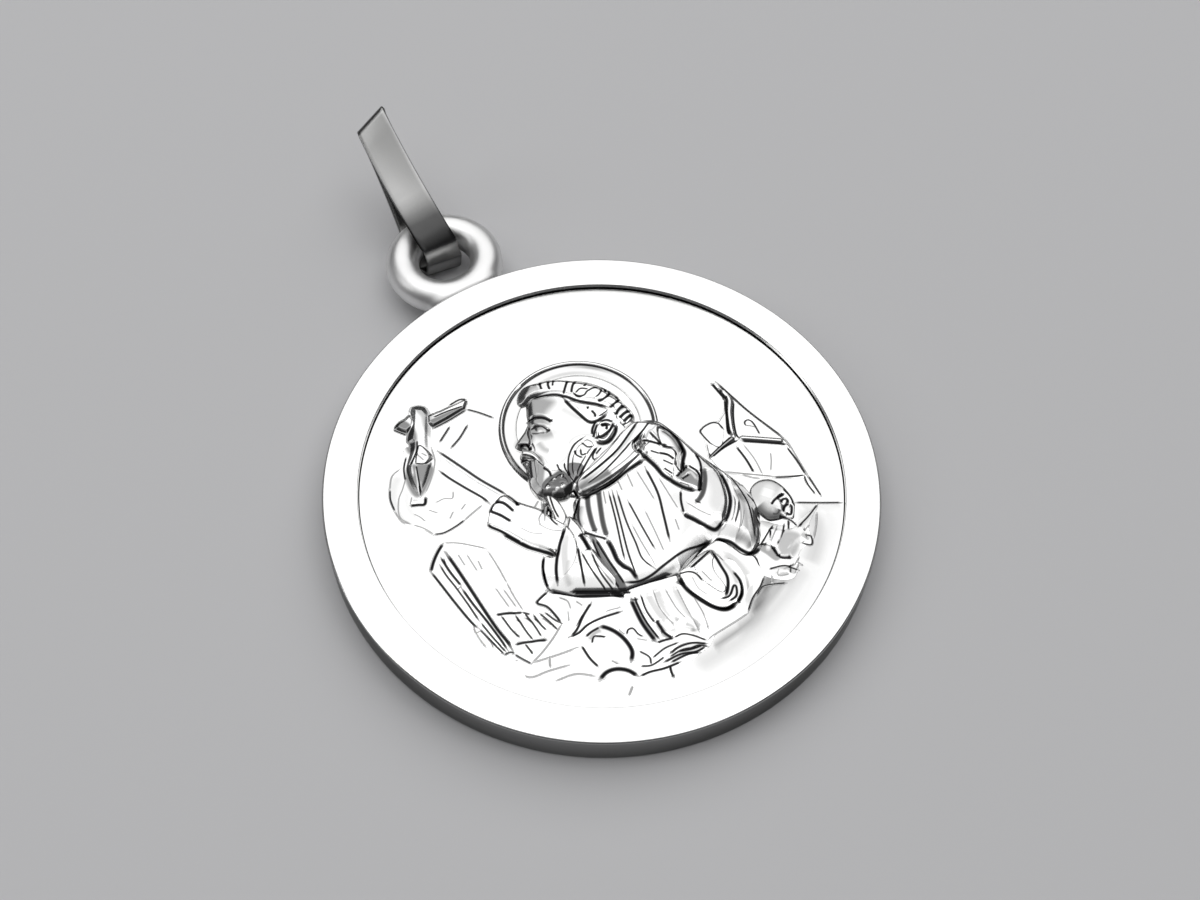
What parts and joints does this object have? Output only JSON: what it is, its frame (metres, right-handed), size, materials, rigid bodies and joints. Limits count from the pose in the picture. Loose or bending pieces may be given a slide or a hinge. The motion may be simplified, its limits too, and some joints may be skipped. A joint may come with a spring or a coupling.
{
  "type": "religious medal pendant",
  "caption": "Round struck medal with a raised plain rim and a devotional relief, a ring soldered to its edge, and a flat strap bail that swings in the ring.",
  "frame": {"origin": "centre of the medal's plain reverse", "axes": "+Z out of the relief face, +Y from the centre towards the soldered ring"},
  "size_m": [0.02, 0.028, 0.0044],
  "materials": {
    "medal_silver": "polished silver, darker in the hollows of the relief",
    "bail_silver": "polished silver strap, lightly satined"
  },
  "bodies": {
    "medal_body": {"medal": "medal_silver"},
    "bail_body": {"bail": "bail_silver"}
  },
  "joints": [
    {"name": "bail_swing", "type": "hinge", "parent": "medal_body", "child": "bail_body", "pos_m": [0, 0.01344, 0.00068], "axis": [1, 0, 0], "range_deg": [-177, 113]}
  ]
}
